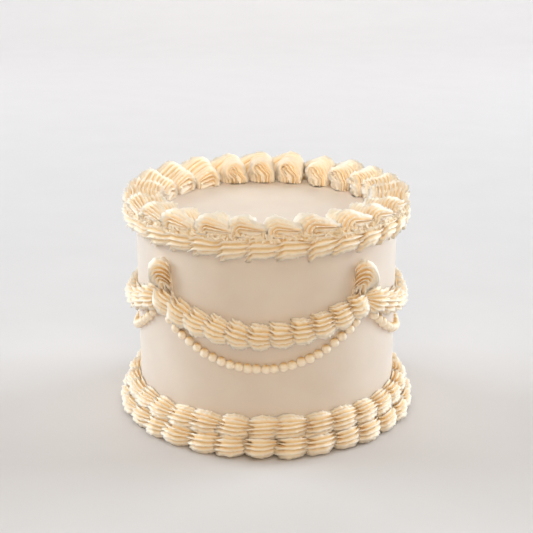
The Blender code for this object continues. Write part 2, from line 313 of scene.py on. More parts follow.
# %% Soft random values, and the cake itself
def eased(share):
    """From 0 to 1 with a soft start and a soft end."""
    return share * share * (3 - 2 * share)


def soft_noise(rng, shape, knots, wrap=False):
    """Random knots between -1 and 1, eased from one to the next. wrap closes the columns to a loop."""
    values = rng.uniform(-1, 1, (knots[0] + 2, knots[1] + 2))
    if wrap:
        values[:, knots[1]:] = values[:, :2]
    row = np.linspace(0, knots[0], shape[0])
    column = np.linspace(0, knots[1], shape[1], endpoint=not wrap)
    i, j = np.floor(row).astype(int), np.floor(column).astype(int)
    f, g = eased(row - i)[:, None], eased(column - j)[None, :]

    def corner(down, across):
        return values[np.ix_(np.minimum(i + down, knots[0] + 1), np.minimum(j + across, knots[1] + 1))]

    upper = corner(0, 0) * (1 - g) + corner(0, 1) * g
    lower = corner(1, 0) * (1 - g) + corner(1, 1) * g
    return upper * (1 - f) + lower * f


EDGE = 1.5
CAKE_SIDES = 288
UNDERSIDE_RADII = (20, 60)
WALL_RINGS = 44
EDGE_RINGS = 6
TOP_RINGS = 26
TOP_MIDDLE = 3.0
WALL_UNEVEN = 0.12


def cake_profile():
    """The radius and the height of each ring, and which rings belong to the top."""
    bend = np.radians(np.linspace(0, 90, EDGE_RINGS))[1:]
    under, wall, top = len(UNDERSIDE_RADII), np.full(WALL_RINGS, WALL), np.full(TOP_RINGS - 1, CAKE_TOP)
    top_radii = np.linspace(WALL - EDGE, TOP_MIDDLE, TOP_RINGS)[1:]
    radius = np.concatenate([UNDERSIDE_RADII, wall, WALL - EDGE + EDGE * np.cos(bend), top_radii])
    wall_heights = np.linspace(0, CAKE_TOP - EDGE, WALL_RINGS)
    height = np.concatenate([np.zeros(under), wall_heights, CAKE_TOP - EDGE + EDGE * np.sin(bend), top])
    return radius[:, None], height[:, None], (np.arange(len(radius)) >= len(radius) - TOP_RINGS)[:, None]


def iced_cake():
    rng = np.random.default_rng(11)
    radius, height, is_top = cake_profile()
    shape = (len(radius), CAKE_SIDES)
    uneven = WALL_UNEVEN * (soft_noise(rng, shape, (9, 20), wrap=True)
                            + 0.5 * soft_noise(rng, shape, (24, 46), wrap=True))
    # The underside and the ring that the cake stands on stay level.
    uneven[:len(UNDERSIDE_RADII) + 1] = 0
    # The same unevenness would crowd into creases at the middle of the top, so it fades there.
    uneven = uneven * np.where(is_top, (radius / WALL) ** 1.5, 1)
    around = np.linspace(0, 360, CAKE_SIDES, endpoint=False)[None, :]
    grid = place(around, radius + np.where(is_top, 0, uneven), height + np.where(is_top, uneven, 0))
    # The smooth icing has no ridges, so it carries one value for them throughout.
    return grid, np.full(shape, 0.7), 1.0


cake = build("iced_cake", [iced_cake()], SCRAPED)
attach(cake, "root")
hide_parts("cake_body")

# %% [markdown]
# ## A ridge of piped icing
# A fine star tip leaves ridges about 3 mm apart, with narrow crests and wide grooves between
# them. The grid of every ridged form below follows the ridges, so each crest is a clean line of
# points. Pushing it out along the surface's own normal gives real relief that holds from every
# side, which a bump map alone would not. One level of each ridge stays on the plain form, so
# that the crests stand out of it and the grooves cut into it.

# %% Ridges and how they are pushed out of a surface
RIDGE_SAMPLES = 6
RIDGE_DEPTH = 2.8
PLAIN_LEVEL = 0.45
CREST_SHARPNESS = 2.2
GROOVE_LEVEL = 0.1
DEPTHS = (0.75, 1.2)
TONES = (0.97, 1.02)


def ridge_height(phase):
    """0 in the groove and 1 on the crest. phase counts ridges."""
    return (1 - np.abs(2 * (phase % 1) - 1)) ** CREST_SHARPNESS


def push_out(grid, amount):
    normal = np.cross(np.gradient(grid, axis=0), np.gradient(grid, axis=1))
    normal /= np.maximum(np.linalg.norm(normal, axis=2, keepdims=True), 1e-9)
    return grid + normal * amount[..., None]


def per_ridge(rng, phase, low, high):
    """One random value for each ridge, for every point of the phase."""
    draws = rng.uniform(low, high, int(phase.max()) + 2)
    return draws[np.floor(phase).astype(int)]


print("height over one ridge:", ridge_height(np.linspace(0, 1, RIDGE_SAMPLES + 1)).round(2))

# %% [markdown]
# ## The shell
# A shell is piped by squeezing until the icing wells up into a head, then easing off while the tip
# is drawn along, which leaves a tail. The next head covers it. Its ridges start round the head in
# a comb of blunt teeth, spread over the swelling and close in on the tail. The form is half an
# almond: one curve gives its width along the length and another how far it stands out. Shares
# of the length run from about 0 at the comb to 1 where the next head begins, and past it.

# %% The almond that a shell is cut from
HEAD_STEPS = 12
TAIL_STEPS = 20
HEAD_AT = 0.42
HEAD_REACH = 0.46
HEAD_ROUNDNESS = 2.4
HEAD_STEEPNESS = 4
TAIL_END = 1.15
TAIL_CURVE = 1.5
TAIL_SINKS = 1.15
LOWEST_LIFT = 0.1
SQUARENESS = 0.75


def section_angle(position, half_width, depth):
    """Angles round the half oval for positions 0 to 1 that count equal lengths of its edge."""
    angle = np.linspace(-math.pi / 2, math.pi / 2, 600)
    out = depth * np.maximum(np.cos(angle), 0) ** SQUARENESS
    across = half_width * np.sign(angle) * np.abs(np.sin(angle)) ** SQUARENESS
    length = np.concatenate([[0], np.cumsum(np.hypot(np.diff(out), np.diff(across)))])
    return np.interp(position * length[-1], length, angle)


def swelling(blunt, taper, tail_end):
    """Shares of the length with the shell's width and how far it stands out at each."""
    rise = np.radians(np.linspace(10, 90, HEAD_STEPS))
    tail = np.linspace(HEAD_AT, tail_end, TAIL_STEPS + 1)[1:]
    share = np.concatenate([HEAD_AT - HEAD_REACH * np.cos(rise), tail])
    going = ((tail - HEAD_AT) / (1 - HEAD_AT)) ** TAIL_CURVE
    rounded = (1 - np.cos(rise) ** HEAD_ROUNDNESS) ** (1 / HEAD_ROUNDNESS)
    steep = (1 - np.cos(rise) ** HEAD_STEEPNESS) ** (1 / HEAD_STEEPNESS)
    width = np.concatenate([blunt + (1 - blunt) * rounded, 1 - taper * going])
    lift = np.concatenate([steep, 1 - TAIL_SINKS * taper * going])
    return share[:, None], width[:, None], np.maximum(lift, LOWEST_LIFT)[:, None]


print("rings of a shell lie at", swelling(0.5, 0.36, TAIL_END)[0].ravel().round(2))

# %% [markdown]
# The shell itself is drawn flat, as along, across and out in millimetres, and bent round the cake
# later. Five things are laid over the almond, besides soft lumps: each ridge is deeper or
# shallower than the next, ragged along its crest, drawn out to a tooth at the comb, hooked or
# splayed there, and the comb's sides start a little behind its middle, because the tip is round.

# %% One shell
RIDGES_WANDER = 0.14
RIDGES_SHIFT = 0.4
RAGGED = 0.32
LUMPS = 0.1
TEETH_SHARE = 0.12
HOOK_SHARE = 0.11
SIDES_SHARE = 0.6
TEETH_SIZES = (0.3, 1.5)
TEETH_LIFT = 0.4
NOTCH = 0.25
TAIL_RELIEF_LOST = 0.35


def fading(share, over):
    """1 at the comb, fading smoothly over this share of the length."""
    return np.exp(-((share - share[0]) / over) ** 2)


def shell(rng, length, half_width, depth, ridges, teeth, blunt=0.5, hook=0.0, splay=0.0, taper=0.36,
          tail_end=TAIL_END, rounded=3.0):
    """blunt is the comb's share of the width, teeth their length, rounded how far its sides lag."""
    share, width, lift = swelling(blunt, taper, tail_end)
    columns = ridges * RIDGE_SAMPLES + 1
    shape = (len(share), columns)
    phase = np.linspace(0, ridges, columns)[None, :]
    drift = RIDGES_WANDER * soft_noise(rng, shape, (3, ridges)) + rng.uniform(-RIDGES_SHIFT, RIDGES_SHIFT)
    position = (phase + drift * np.sin(np.pi * phase / ridges)) / ridges
    angle = section_angle(position, half_width, depth)
    front = np.maximum(np.cos(angle), 0)
    across = half_width * width * np.sign(angle) * np.abs(np.sin(angle)) ** SQUARENESS
    out = depth * lift * front ** SQUARENESS
    grid = np.stack(np.broadcast_arrays(share * length, across, out), axis=-1)

    crest = ridge_height(phase) * np.ones(shape)
    ragged = 1 + RAGGED * soft_noise(rng, shape, (20, ridges))
    near_head = fading(share, TEETH_SHARE)
    grid[..., 0] += rounded * np.sin(angle) ** 2 * fading(share, SIDES_SHARE)
    # Ridges are shallower towards the tail and where the shell is narrow.
    relief = RIDGE_DEPTH * per_ridge(rng, phase, *DEPTHS) * (1 - TAIL_RELIEF_LOST * np.clip(share, 0, 1))
    relief = relief * np.minimum(1, 0.35 + width)
    lumps = LUMPS * soft_noise(rng, shape, (20, ridges * 3))
    grid = push_out(grid, relief * (crest * ragged - PLAIN_LEVEL) + lumps)
    # A tooth reaches back from each crest and lifts off a little, with a notch on either side of it.
    tooth = teeth * per_ridge(rng, phase, *TEETH_SIZES) * crest
    grid[..., 0] -= (tooth - NOTCH * teeth * (1 - crest)) * near_head
    grid[..., 2] += TEETH_LIFT * tooth * near_head * front
    bend = hook * fading(share, HOOK_SHARE) + splay * np.sin(angle) * near_head
    grid[..., 1] += bend * (0.4 + 0.6 * crest)
    # Painted shade: crests are darkened near the comb and at the shell's rims, and the rims fall to the
    # deepest groove colour where the shell meets the wall.
    shaded = (1 - GROOVE_LEVEL) * crest * (0.7 + 0.3 * front) * (1 - 0.35 * near_head)
    return grid, GROOVE_LEVEL * front + shaded


example = shell(np.random.default_rng(0), 16.0, 7.0, 8.0, 10, 1.0)
print("one shell:", example[0].shape[:2], "points")

# %% [markdown]
# ## Shells round the cake
# Three rows go right round: two stacked at the foot and one under the top edge. Thirty-one shells
# make a row. The starts wander a little and the sizes differ, by the same draws as in the
# solids, so each fine shell covers its plain one. In the row under the top edge each
# ridge starts low and hooks up into its line. That row ends where the scrolls rest on it, on a
# line that starts 1 mm inside the top edge and climbs outwards.

# %% Lay rows of shells along the wall
SHELLS = 31
SHELLS_START = -6.5
WANDER = 0.6
UNEVEN = 0.06
SHELL_LEAN = 5
REST_SLOPE = 0.9
ROW_ABOVE_REST = 0.6


def rest_line(radius):
    return CAKE_TOP + REST_SLOPE * np.maximum(0, radius - WALL + 1)


def border(name, seed, middle, half_width, depth, ridges, under_scrolls=False, **form):
    draw = random.Random(seed)
    rng = np.random.default_rng(100 + seed)
    step = 360 / SHELLS
    length = math.radians(step) * (WALL + depth / 2)
    stacks = []
    for index in range(SHELLS):
        start = SHELLS_START + step * index + draw.uniform(-WANDER, WANDER)
        full = 1 - UNEVEN * draw.random()
        grid, ridge = shell(rng, length, half_width * full, depth * full, ridges, **form)
        lean = math.sin(math.radians(rng.uniform(-SHELL_LEAN, SHELL_LEAN)))
        tone = rng.uniform(*TONES)
        along = grid[..., 0] - grid[..., 1] * lean
        height = middle + grid[..., 1] + (grid[..., 0] - length / 2) * lean
        radius = WALL + GAP + grid[..., 2] - SHELL_SUNK
        highest = rest_line(radius) + ROW_ABOVE_REST
        height = np.minimum(height, highest) if under_scrolls else np.maximum(height, 0)
        stacks.append((place(start + step * along / length, radius, height), ridge, tone))
    row = build(name, stacks, PIPED)
    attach(row, "root")
    return row


foot_lower = border("shells_foot_lower", seed=1, middle=6.3, half_width=7.3, depth=13.3, ridges=11,
                    teeth=2.2, blunt=0.45, hook=-0.7, taper=0.42, rounded=2.6)
foot_upper = border("shells_foot_upper", seed=2, middle=15.6, half_width=7.0, depth=8.8, ridges=9,
                    teeth=2.4, blunt=0.5, hook=-0.5, splay=0.4, taper=0.4, rounded=2.4)
top_edge = border("shells_top_edge", seed=3, middle=126.6, half_width=6.8, depth=7.8, ridges=7,
                  under_scrolls=True, teeth=1.2, blunt=0.85, hook=-3.0, taper=0.26, rounded=1.5)
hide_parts("bottom_lower_border")
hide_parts("bottom_upper_border")
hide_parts("top_shell_border")

# %% [markdown]
# ## Scrolls on the top edge
# Each scroll is a rope of icing that leaves its tail on the right, runs level to the left, turns
# over and hooks in on itself. Seen from outside, its ridges are long level lines that curl round an
# eye. On the inner side they are arches whose legs lean over and then drop. Both sides share one
# grid: one direction runs along the rope, the other tilts from the outer eye over to the inner.
# The paths are millimetres along the cake's edge and up from the scroll's middle.

# %% The path of a ridge on either side
SCROLL_REACH = 9.2
SCROLL_HALF_LENGTH = 8.0
SCROLL_FOOT = -7.2
TAIL_RISEN = 0.1
CURL_STARTS = 0.38
CURL = 168
CURL_AT_EYE = 60
LEVEL_LENGTH = 12.0
LEG_SHARE = 0.28
ARCH_HALF_WIDTH = 8.8
ARCH_REACH = 9.4
LEG_LEAN = 6.4
LEAN_OVER = 6.5


def between(value, start, end):
    """0 before start, 1 after end and even in between."""
    return np.clip((value - start) / (end - start), 0, 1)


def outer_side(rope, swell, eye):
    """A tail that rises at the right, level lines, and a curl round the eye. rope runs from 0 to 1."""
    level = 1 - between(rope, TAIL_RISEN, CURL_STARTS)
    turn = np.radians(90 + (CURL + CURL_AT_EYE * (1 - swell)) * between(rope, CURL_STARTS, 1))
    narrowing = 1 - 0.6 * level ** 1.2
    along = eye[0] * (1 - 0.5 * swell) + LEVEL_LENGTH * level + SCROLL_HALF_LENGTH * swell * np.cos(turn)
    up = eye[1] * (1 - 0.4 * swell) + SCROLL_REACH * swell * narrowing * np.sin(turn)
    return along, up + (SCROLL_FOOT - up) * (1 - between(rope, 0, TAIL_RISEN)) ** 1.5


def inner_side(rope, swell, eye):
    """Arches round an eye near the top, whose legs lean to one side and then drop."""
    foot = 1 - between(rope, 0, LEG_SHARE) + between(rope, 1 - LEG_SHARE, 1)
    turn = np.pi * between(rope, LEG_SHARE, 1 - LEG_SHARE)
    along = eye[0] * (1 - swell) + ARCH_HALF_WIDTH * swell * np.cos(turn) * (1 - 0.15 * foot ** 2)
    start = eye[1] * (1 - swell)
    up = start + ARCH_REACH * swell * np.sin(turn) + (SCROLL_FOOT - start) * foot
    below = eased(between(eye[1] - up, 0, LEAN_OVER))
    return along - LEG_LEAN * below * (1 - swell ** 2), up


print("an outer ridge starts at", *np.round(outer_side(0.0, 1.0, (0, 0)), 1), "mm")

# %% [markdown]
# Thirteen ridges lie side by side from eye to eye. The inner side is squarer than the outer, so
# that its arches lie in a nearly flat face. Where the two sides meet on top, one path is eased
# into the other. The relief is shallower there, and faint at the eyes.

# %% The shape of one scroll
SCROLL_RADIUS = 76.0
SCROLL_DEPTH = 10.4
SCROLL_MIDDLE = 130.8
SCROLL_RIDGES = 13
SCROLL_STEPS = 62
SCROLL_RELIEF = 1.1
SCROLL_ABOVE_REST = 0.2
INNER_SQUARENESS = 0.45
OUTER_EYE = (1.6, 3.8)
INNER_EYE = (4.6, 4.6)
HOOKED_EYE = (-2.6, -3.2)
EYE_WANDER = 1.0
SCROLL_WANDER = 0.25
PIT_DEPTH, PIT_WIDTH = 0.5, 0.3
JUST_BEFORE_INNER_EYE = 3.1415
SIDES_MEET = (66, 114)
TOP_TILT, TOP_SPREAD, TOP_RELIEF_LOST = 100, 28, 0.5
PAINTED_FOOT_SHADE = 3


def swell_at(tilt):
    """0 at an eye and 1 on top. The inner side stays wide for longer, so its face is nearly flat."""
    return np.sin(tilt) ** np.where(tilt < math.pi / 2, SQUARENESS, INNER_SQUARENESS)


def even_tilt(share):
    """Tilts from eye to eye, for shares that count equal lengths over the top."""
    tilt = np.linspace(0, math.pi, 400)
    reach = SCROLL_REACH * swell_at(np.minimum(tilt, JUST_BEFORE_INNER_EYE))
    out = SCROLL_DEPTH * np.cos(tilt)
    length = np.concatenate([[0], np.cumsum(np.hypot(np.diff(reach), np.diff(out)))])
    return np.interp((0.01 + 0.98 * share) * length[-1], length, tilt)


def eye_near(rng, spot):
    return [at + rng.uniform(-EYE_WANDER, EYE_WANDER) for at in spot]


def scroll(rng, azimuth, size, is_hooked):
    rope = np.linspace(0, 1, SCROLL_STEPS)[None, :]
    rows = SCROLL_RIDGES * RIDGE_SAMPLES + 1
    shape = (rows, SCROLL_STEPS)
    phase = np.linspace(0, SCROLL_RIDGES, rows)[:, None]
    drift = SCROLL_WANDER * soft_noise(rng, shape, (6, 4)) + rng.uniform(-RIDGES_SHIFT, RIDGES_SHIFT)
    tilt = even_tilt((phase + drift * np.sin(np.pi * phase / SCROLL_RIDGES)) / SCROLL_RIDGES)
    swell = swell_at(tilt)
    outer = outer_side(rope, swell, eye_near(rng, OUTER_EYE))
    if is_hooked:
        inner = outer_side(rope, swell, eye_near(rng, HOOKED_EYE))
    else:
        inner = inner_side(rope, swell, eye_near(rng, INNER_EYE))
    mix = eased(between(np.degrees(tilt), *SIDES_MEET))
    along = size * (outer[0] * (1 - mix) + inner[0] * mix)
    up = size * (outer[1] * (1 - mix) + inner[1] * mix)
    pit = PIT_DEPTH * np.exp(-(swell / PIT_WIDTH) ** 2) * (tilt < math.pi / 2)
    grid = np.stack([along, up, (SCROLL_DEPTH * np.cos(tilt) - pit) * np.ones(shape)], axis=-1)

    # Half a ridge of shift puts a crest, not a groove, into each eye.
    crest = ridge_height(phase + 0.5) * np.ones(shape)
    relief = SCROLL_RELIEF * RIDGE_DEPTH * per_ridge(rng, phase + 0.5, *DEPTHS)
    relief = relief * np.clip(0.3 + swell * 3, 0, 1)
    relief = relief * (1 - TOP_RELIEF_LOST * np.exp(-((np.degrees(tilt) - TOP_TILT) / TOP_SPREAD) ** 2))
    ragged = 1 + (0.3 - 0.2 * swell ** 4) * soft_noise(rng, shape, (SCROLL_RIDGES, 34))
    grid = push_out(grid, relief * (crest * ragged - PLAIN_LEVEL))
    # Painted shade: the grooves darken to the deepest groove colour over the 3 mm at the scroll's foot, where
    # it sits on the row below.
    above_foot = between(grid[..., 1], SCROLL_FOOT, SCROLL_FOOT + PAINTED_FOOT_SHADE)
    radius = SCROLL_RADIUS + grid[..., 2]
    height = np.maximum(SCROLL_MIDDLE + grid[..., 1], rest_line(radius) + SCROLL_ABOVE_REST)
    painted_light_level = GROOVE_LEVEL * above_foot + (1 - GROOVE_LEVEL) * crest
    return place(azimuth + degrees_for(grid[..., 0], SCROLL_RADIUS), radius, height), painted_light_level


print("ridges tilt by", np.degrees(even_tilt(np.linspace(0, 1, SCROLL_RIDGES + 1))).round())

# %% [markdown]
# ## Torn icing
# Where the outer curls sit on the row below, a crumbly band of icing is squeezed out, and small
# torn teeth stick out of it. The band is a rope 4 mm thick with lumps of two sizes. A tooth is a
# tiny lumpy ball, drawn out to a length of 1 to 3 mm and leaning at random.

# %% The torn band and its teeth
TOOTH_SHAPE = (7, 8)
TOOTH_LENGTHS = (0.7, 1.7)
TOOTH_WIDTHS = (0.45, 0.8)
TOOTH_LEANS = (-1.0, 1.0)
TOOTH_LUMPS = 0.3
TOOTH_ALONG = (-8, 10)
TOOTH_HEIGHTS = (129.8, 133.6)
TOOTH_OUT = (0.2, 1.1)
TEETH_RADIUS = 86.0
BED_RADIUS = 84.2
BED_HEIGHT = 131.4
BED_GIRTH, BED_UPRIGHT = 2.1, 1.35
BED_LUMPS = 0.45
BED_ROWS = 30
BED_COLUMNS_PER_DEGREE = 3


def torn_tooth(rng, azimuth):
    rings, around = TOOTH_SHAPE
    tilt = np.radians(np.linspace(8, 172, rings))[:, None]
    turn = np.radians(np.linspace(0, 360, around, endpoint=False))[None, :]
    length, width, lean = (rng.uniform(*span) for span in (TOOTH_LENGTHS, TOOTH_WIDTHS, TOOTH_LEANS))
    lump = 1 + TOOTH_LUMPS * soft_noise(rng, TOOTH_SHAPE, (3, 4), wrap=True)
    side = width * lump * np.sin(tilt) * np.cos(turn)
    reach = length * lump * np.cos(tilt)
    along = rng.uniform(*TOOTH_ALONG) + side * math.cos(lean) + reach * math.sin(lean)
    up = rng.uniform(*TOOTH_HEIGHTS) + reach * math.cos(lean) - side * math.sin(lean)
    out = TEETH_RADIUS + rng.uniform(*TOOTH_OUT) + 1.1 * width * lump * np.sin(tilt) * np.sin(turn)
    return place(azimuth + degrees_for(along, TEETH_RADIUS), out, up), np.full(TOOTH_SHAPE, 0.5), 1.0


def torn_bed(rng, first, last):
    columns = round((last - first) * BED_COLUMNS_PER_DEGREE)
    shape = (columns, BED_ROWS)
    tilt = np.radians(np.linspace(0, 360, BED_ROWS, endpoint=False))[None, :]
    lumps = soft_noise(rng, shape, (columns // 4, 14), wrap=True)
    lumps = lumps + 0.8 * soft_noise(rng, shape, (columns // 2, BED_ROWS), wrap=True)
    girth = BED_GIRTH + BED_LUMPS * lumps
    azimuth = np.linspace(first, last, columns)[:, None]
    spot = place(azimuth, BED_RADIUS + girth * np.cos(tilt), BED_HEIGHT + BED_UPRIGHT * girth * np.sin(tilt))
    # Painted shade and light: the colour level follows the lumps, darker in the hollows between them and
    # paler on their swellings.
    return spot, np.clip(0.25 + 0.25 * lumps, 0, 1), 1.0


print("torn band over 90 degrees:", torn_bed(np.random.default_rng(0), 0, 90)[1].shape, "points")

# %% [markdown]
# ## The ring of scrolls
# Twenty-four scrolls stand on the top edge, spaced a little unevenly, as by hand. Three at the back
# left curl on their inner side too. The ring is made in two halves, as one mesh would be heavy.

# %% Twenty-four scrolls
SCROLL_AZIMUTHS = (-10.5, 3.9, 17.8, 34.3, 48.6, 63.5, 78.0, 92.0, 106.0, 120.5, 135.7, 151.0,
                   167.6, 182.7, 197.6, 214.2, 230.8, 247.2, 262.5, 276.5, 290.7, 304.8, 320.0, 336.5)
HOOKED_BETWEEN = (205, 255)
TORN_TEETH = 16
BED_PAST_SCROLL = 8


def scroll_ring(name, numbers):
    first, last = SCROLL_AZIMUTHS[numbers[0]], SCROLL_AZIMUTHS[numbers[-1]]
    stacks = [torn_bed(np.random.default_rng(90), first - BED_PAST_SCROLL, last + BED_PAST_SCROLL)]
    for index in numbers:
        rng = np.random.default_rng(500 + index)
        azimuth = SCROLL_AZIMUTHS[index]
        is_hooked = HOOKED_BETWEEN[0] < azimuth < HOOKED_BETWEEN[1]
        spot, ridge = scroll(rng, azimuth, 1 - UNEVEN * rng.random(), is_hooked)
        stacks.append((spot, ridge, rng.uniform(*TONES)))
        stacks += [torn_tooth(rng, azimuth) for _ in range(TORN_TEETH)]
    ring = build(name, stacks, PIPED)
    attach(ring, "root")
    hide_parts("top_scroll_border")


scroll_ring("scrolls_right", range(0, 12))
scroll_ring("scrolls_left", range(12, 24))

# %% [markdown]
# ## Garlands
# Four garlands hang from knot to knot. They are the same shells, laid along a drape instead of a
# level line, so each point's share of the way gives the place on the drape and its slope. The
# last shell runs out in a long thin tail. The second garland was piped the other way round, so
# both front knots are met by tails from the sides.

# %% Lay shells along the drapes
KNOTS = (-50.0, 45.5, 133.7, 221.9)
KNOT_CLEARANCE = 0.5
HEADS_APART = 2.5
LOWEST_AT = 0.49
GARLAND_DRAPE = {"end": 87.0, "low": 72.2, "curve": 1.75}
GARLAND_SHELL = 13.1
GARLAND_HALF_WIDTH = 7.2
GARLAND_DEPTH = 7.9
GARLAND_RIDGES = 8
GARLAND_COMB = {"teeth": 1.2, "blunt": 0.7, "hook": 1.3, "rounded": 2.4}
GARLAND_LEAN = 1.2
LEAN_VARIES = 0.8
COMMON_SHELL = {"taper": 0.32}
LAST_SHELL = {"taper": 0.6, "tail_end": 1.1}
SLOPE_STEP = 0.005


def drape(share, end, low, curve):
    """The height of a drape from its ends down to its lowest point, for a share of the way along."""
    side = np.where(share < LOWEST_AT, LOWEST_AT, 1 - LOWEST_AT)
    return low + (end - low) * (np.abs(share - LOWEST_AT) / side) ** curve


def garland_slope(share, run):
    rise = drape(share + SLOPE_STEP, **GARLAND_DRAPE) - drape(share - SLOPE_STEP, **GARLAND_DRAPE)
    return np.arctan2(rise, 2 * SLOPE_STEP * run)


def garland(number, first, last, seed, backwards=False):
    draw = random.Random(seed)
    rng = np.random.default_rng(200 + seed)
    last -= HEADS_APART if backwards else 0
    span = last - first - 2 * KNOT_CLEARANCE
    run = math.radians(span) * (WALL + GARLAND_DEPTH / 2)
    count = round(run / GARLAND_SHELL)
    length = run / count
    stacks = []
    for index in range(count):
        full = 1 - UNEVEN * draw.random()
        tail = LAST_SHELL if index == count - 1 else COMMON_SHELL
        grid, ridge = shell(rng, length, GARLAND_HALF_WIDTH * full, GARLAND_DEPTH * full, GARLAND_RIDGES,
                            **GARLAND_COMB, **tail)
        tone = rng.uniform(*TONES)
        lean = GARLAND_LEAN + rng.uniform(-LEAN_VARIES, LEAN_VARIES)
        across = grid[..., 1] + lean * (0.5 - grid[..., 0] / length)
        share = (index + grid[..., 0] / length) / count
        share = 1 - share if backwards else share
        slope = garland_slope(share, run)
        azimuth = first + KNOT_CLEARANCE + share * span - degrees_for(across * np.sin(slope))
        height = drape(share, **GARLAND_DRAPE) + across * np.cos(slope)
        stacks.append((place(azimuth, WALL + GAP + grid[..., 2] - SHELL_SUNK, height), ridge, tone))
    piece = build(f"garland_shells_{number}", stacks, PIPED)
    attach(piece, "root")
    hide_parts(f"garland_{number}")


SPANS = [(knot, KNOTS[index + 1] if index < 3 else KNOTS[0] + 360) for index, knot in enumerate(KNOTS)]
for number, (first, last) in enumerate(SPANS, start=1):
    garland(number, first, last, seed=9 + number, backwards=number == 2)

# %% [markdown]
# ## Strings of beads
# A small round tip, pressed and lifted again and again, leaves beads under 6 mm across that touch.
# Each is a ball pushed a little flat against the wall, with a soft peak where the tip left it.
# Its colour deepens towards its upper rim, a painted shade where it turns in against the wall under the
# garland.

# %% Beads along a deeper drape
BEAD_SPACING = 5.6
BEAD_DRAPE = {"end": 76.5, "low": 52.4, "curve": 2.0}
BEAD_STRETCH = 1.12
BEAD_INSET = 4.0
BEAD_SHAPE = (13, 20)
BEAD_RADIUS = 2.9
BEAD_SIZES = (0.94, 1.05)
BEAD_SHIFT, BEAD_RISE, BEAD_LEAN = 0.05, 0.2, 0.3
BEAD_LUMPS = 0.03
BEAD_PEAK = 0.1
BEAD_FLATNESS = 0.85
BEAD_OUT = 0.9
BEAD_TONES = (0.98, 1.02)


def bead_string(number, first, last):
    rng = np.random.default_rng(300 + number)
    span = last - first - 2 * BEAD_INSET
    count = round(math.radians(span) * WALL * BEAD_STRETCH / BEAD_SPACING)
    rings, around = BEAD_SHAPE
    tilt = np.radians(np.linspace(6, 174, rings))[:, None]
    turn = np.radians(np.linspace(0, 360, around, endpoint=False))[None, :]
    peak = 1 + BEAD_PEAK * np.exp(-(tilt / 0.5) ** 2)
    # Painted shade: the colour level falls towards the bead's upper rim, where it turns in against the wall.
    upper = between(np.sin(tilt) * np.sin(turn), 0.3, 1)
    stacks = []
    for index in range(count):
        share = (index + 0.5 + rng.uniform(-BEAD_SHIFT, BEAD_SHIFT)) / count
        size = BEAD_RADIUS * rng.uniform(*BEAD_SIZES)
        along = size * np.sin(tilt) * np.cos(turn) * peak + BEAD_LEAN * np.cos(tilt)
        up = size * np.sin(tilt) * np.sin(turn) * peak + rng.uniform(-BEAD_RISE, BEAD_RISE)
        out = BEAD_OUT + BEAD_FLATNESS * size * np.cos(tilt) * peak
        lump = 1 + BEAD_LUMPS * soft_noise(rng, BEAD_SHAPE, (3, 5), wrap=True)
        spot = place(first + BEAD_INSET + share * span + degrees_for(along * lump),
                     WALL + GAP + out * lump, drape(share, **BEAD_DRAPE) + up * lump)
        stacks.append((spot, 0.6 - 0.6 * upper * np.ones(BEAD_SHAPE), rng.uniform(*BEAD_TONES)))
    piece = build(f"beads_{number}", stacks, PIPED)
    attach(piece, "root")
    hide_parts(f"bead_string_{number}")


for number, (first, last) in enumerate(SPANS, start=1):
    bead_string(number, first, last)

# %% [markdown]
# ## Drops at the knots
# One fan covers each knot. Its ridges are nested arches: each rises from a comb on one side, passes
# over the top and comes down on the other, the inner ones narrow and low, the outer ones wide. An
# arch is a curve through three points, and each point slides along a line from one arch to the
# next. Every second drop is the mirror image of the one before.

# %% The arches of a drop
INNERMOST, OUTERMOST = -0.36, 0.98
# Each line is where an arch's point is at level 0, and how far it moves from there to level 1.
COMB_END = ((10.6, 94.0), (-3.0, 15.6))
ARCH_TOP = ((6.6, 99.3), (-7.6, 10.6))
FAR_END = ((3.0, 92.4), (-13.8, 3.6))


def arches(level, way):
    """Points along and up, on the arch of each level, from its comb (way 0) to its far end (way 1)."""
    spot = []
    for axis in range(2):
        comb, top, far = (at[0][axis] + at[1][axis] * level for at in (COMB_END, ARCH_TOP, FAR_END))
        bend = 2 * top - (comb + far) / 2
        spot.append((1 - way) ** 2 * comb + 2 * way * (1 - way) * bend + way ** 2 * far)
    return spot


print("the outermost arch ends at", *np.round(arches(OUTERMOST, 1.0), 1), "mm")

# %% [markdown]
# A drop stands out most at two thirds of the way along its arches, so they show well from the
# front. The crests end unevenly on both sides. The grid's own normal points inwards here, so the
# relief is given a minus.

# %% Four drops
DROP_RIDGES = 7
DROP_STEPS = 34
DROP_DEPTH = 7.4
DROP_DEPTHS = (0.8, 1.15)
DROP_TONE = 0.98
DROP_RELIEF, DROP_RELIEF_LOST = 1.5, 0.4
DROP_WANDER, DROP_RAGGED = 0.02, 0.25
HIGHEST_AT = 0.64
END_FALLS_FROM = 0.8
COMB_JAGS, COMB_JAG_SIZES, COMB_SHARE = 0.07, (0.2, 1.4), 0.1
FAR_JAGS, FAR_JAG_SIZES, FAR_SHARE = 0.14, (-0.5, 1.2), 0.15
RIM_INSIDE_WALL = 0.3


